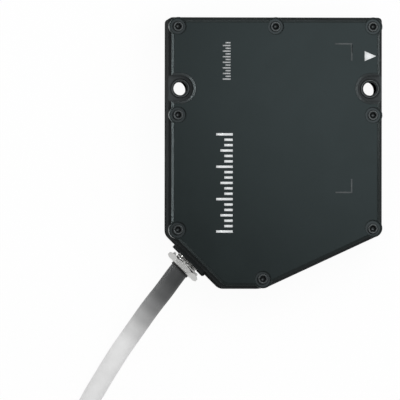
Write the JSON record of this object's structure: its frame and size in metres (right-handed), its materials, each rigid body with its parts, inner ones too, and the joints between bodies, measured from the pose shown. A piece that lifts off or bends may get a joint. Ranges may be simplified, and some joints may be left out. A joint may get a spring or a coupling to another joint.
{
  "type": "laser displacement sensor",
  "caption": "Flat charcoal laser displacement sensor head with a screwed cover, sloping lower side, windows in one edge and a corner gland for its coiled cable and plug.",
  "frame": {"origin": "middle of the back face of the head, without the cable", "axes": "X right towards the measuring face, Y up along the head, Z out of the cover; it lies on its back"},
  "size_m": [0.1314, 0.23, 0.033],
  "materials": {
    "case_paint": "satin charcoal paint on die-cast aluminium",
    "cover_paint": "satin charcoal paint with a fine grain",
    "dark_steel": "blackened steel",
    "bright_steel": "bright steel",
    "nickel": "nickel plate",
    "clear_glass": "clear polished glass",
    "red_glass": "dark red filter glass",
    "light_pipe": "frosted clear plastic",
    "black_rubber": "matt rubber",
    "loom_sleeve": "woven sleeve",
    "cream_plastic": "moulded plastic",
    "plain_aluminium": "milled",
    "black_anodised": "black anodised",
    "gold_plate": "gold plate",
    "brass_post": "turned brass",
    "green_board": "solder mask",
    "black_plastic": "moulded plastic",
    "chip_ceramic": "fired ceramic",
    "chip_plastic": "moulded plastic",
    "amber_film": "polyimide film",
    "cable_jacket": "grey jacket, charcoal at the gland"
  },
  "bodies": {
    "root": {"case": "case_paint", "cover": "cover_paint", "cover_gasket": "black_rubber", "cover_screws": "dark_steel", "transmitter_glass": "clear_glass", "receiver_glass": "red_glass", "light_pipes": "light_pipe", "gland_body": "nickel", "gland_nut": "nickel", "gland_locknut": "nickel", "gland_seal": "black_rubber", "wire_loom": "loom_sleeve", "wire_header": "cream_plastic", "optical_base": "plain_aluminium", "base_screws": "dark_steel", "laser_holder": "plain_aluminium", "laser_barrel": "black_anodised", "laser_diode": "gold_plate", "laser_board": "green_board", "collimator_lens": "clear_glass", "lens_retainer": "black_anodised", "beam_aperture": "black_anodised", "receiver_saddle": "plain_aluminium", "receiver_strap": "bright_steel", "strap_screws": "bright_steel", "receiver_barrel": "black_anodised", "bandpass_filter": "red_glass", "front_lens": "clear_glass", "lens_spacer": "black_anodised", "rear_lens": "clear_glass", "receiver_retainer": "black_anodised", "light_shroud": "black_plastic", "ccd_package": "chip_ceramic", "ccd_glass": "clear_glass", "ccd_board": "green_board", "ccd_bracket": "plain_aluminium", "bracket_screws": "bright_steel", "ccd_flex": "amber_film", "main_board": "green_board", "board_standoffs": "brass_post", "board_screws": "bright_steel", "processor": "chip_plastic", "memory_chips": "chip_plastic", "shield_can": "bright_steel", "indicator_leds": "cream_plastic", "cable_lead": "cable_jacket", "cable_coil": "cable_jacket", "cable_tail": "cable_jacket", "cable_tie": "black_plastic", "connector_boot": "black_rubber", "connector_shell": "nickel", "connector_insert": "black_plastic", "connector_pins": "gold_plate"}
  },
  "joints": []
}
